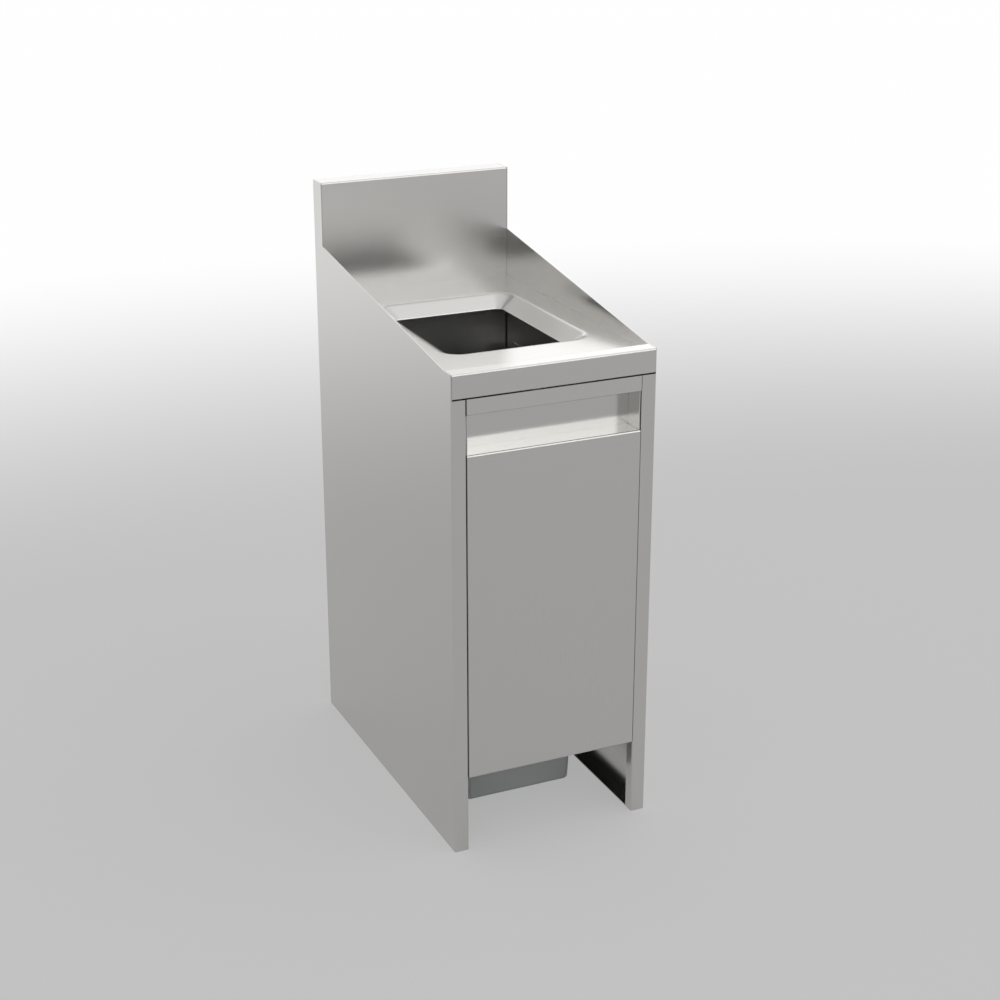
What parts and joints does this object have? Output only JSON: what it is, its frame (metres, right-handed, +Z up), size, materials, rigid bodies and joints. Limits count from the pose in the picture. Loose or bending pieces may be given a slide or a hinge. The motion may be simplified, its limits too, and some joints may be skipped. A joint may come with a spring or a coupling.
{
  "type": "waste station",
  "caption": "Narrow stainless bar cabinet with sloped cheeks, a tall splashback, a funnel-shaped waste chute and a pull-out front that carries a lift-out bin.",
  "frame": {"origin": "on the floor under the middle of the cabinet", "axes": "+X to the right as seen from the front, -Y to the front, +Z up"},
  "size_m": [0.35, 0.6, 1],
  "materials": {
    "stainless": "fine brushed",
    "zinc_plate": "bright zinc",
    "bearing_steel": "polished",
    "grey_plastic": "moulded, matte"
  },
  "bodies": {
    "carcass": {"worktop": "stainless", "back_panel": "stainless", "front_top_rail": "stainless", "rear_bottom_rail": "stainless", "left_side_panel": "stainless", "left_runner_bracket": "stainless", "left_runner_outer": "zinc_plate", "right_side_panel": "stainless", "right_runner_bracket": "stainless", "right_runner_outer": "zinc_plate"},
    "drawer": {"front_panel": "stainless", "front_inner_skin": "stainless", "carrier_front_bar": "stainless", "carrier_rear_bar": "stainless", "left_recess_cap": "stainless", "left_carrier_arm": "stainless", "left_front_gusset": "stainless", "left_runner_inner": "zinc_plate", "right_recess_cap": "stainless", "right_carrier_arm": "stainless", "right_front_gusset": "stainless", "right_runner_inner": "zinc_plate"},
    "left_middle": {"left_runner_middle": "zinc_plate"},
    "left_outer_cage": {"left_outer_ball_cage": "bearing_steel"},
    "left_inner_cage": {"left_inner_ball_cage": "bearing_steel"},
    "right_middle": {"right_runner_middle": "zinc_plate"},
    "right_outer_cage": {"right_outer_ball_cage": "bearing_steel"},
    "right_inner_cage": {"right_inner_ball_cage": "bearing_steel"},
    "bin": {"waste_bin": "grey_plastic"}
  },
  "joints": [
    {"name": "drawer_slide", "type": "slide", "parent": "carcass", "child": "drawer", "axis": [0, -1, 0], "range_m": [0, 0.48]},
    {"name": "left_middle_slide", "type": "slide", "parent": "carcass", "child": "left_middle", "axis": [0, -1, 0], "range_m": [0, 0.245]},
    {"name": "left_outer_cage_slide", "type": "slide", "parent": "carcass", "child": "left_outer_cage", "axis": [0, -1, 0], "range_m": [0, 0.125]},
    {"name": "left_inner_cage_slide", "type": "slide", "parent": "carcass", "child": "left_inner_cage", "axis": [0, -1, 0], "range_m": [0, 0.365]},
    {"name": "right_middle_slide", "type": "slide", "parent": "carcass", "child": "right_middle", "axis": [0, -1, 0], "range_m": [0, 0.245]},
    {"name": "right_outer_cage_slide", "type": "slide", "parent": "carcass", "child": "right_outer_cage", "axis": [0, -1, 0], "range_m": [0, 0.125]},
    {"name": "right_inner_cage_slide", "type": "slide", "parent": "carcass", "child": "right_inner_cage", "axis": [0, -1, 0], "range_m": [0, 0.365]},
    {"name": "bin_lift", "type": "slide", "parent": "drawer", "child": "bin", "axis": [0, 0, 1], "range_m": [0, 0.1]}
  ],
  "couplings": [
    {"joint": "left_middle_slide", "follows": "drawer_slide", "ratio": 0.5},
    {"joint": "left_outer_cage_slide", "follows": "drawer_slide", "ratio": 0.25},
    {"joint": "left_inner_cage_slide", "follows": "drawer_slide", "ratio": 0.75},
    {"joint": "right_middle_slide", "follows": "drawer_slide", "ratio": 0.5},
    {"joint": "right_outer_cage_slide", "follows": "drawer_slide", "ratio": 0.25},
    {"joint": "right_inner_cage_slide", "follows": "drawer_slide", "ratio": 0.75}
  ]
}
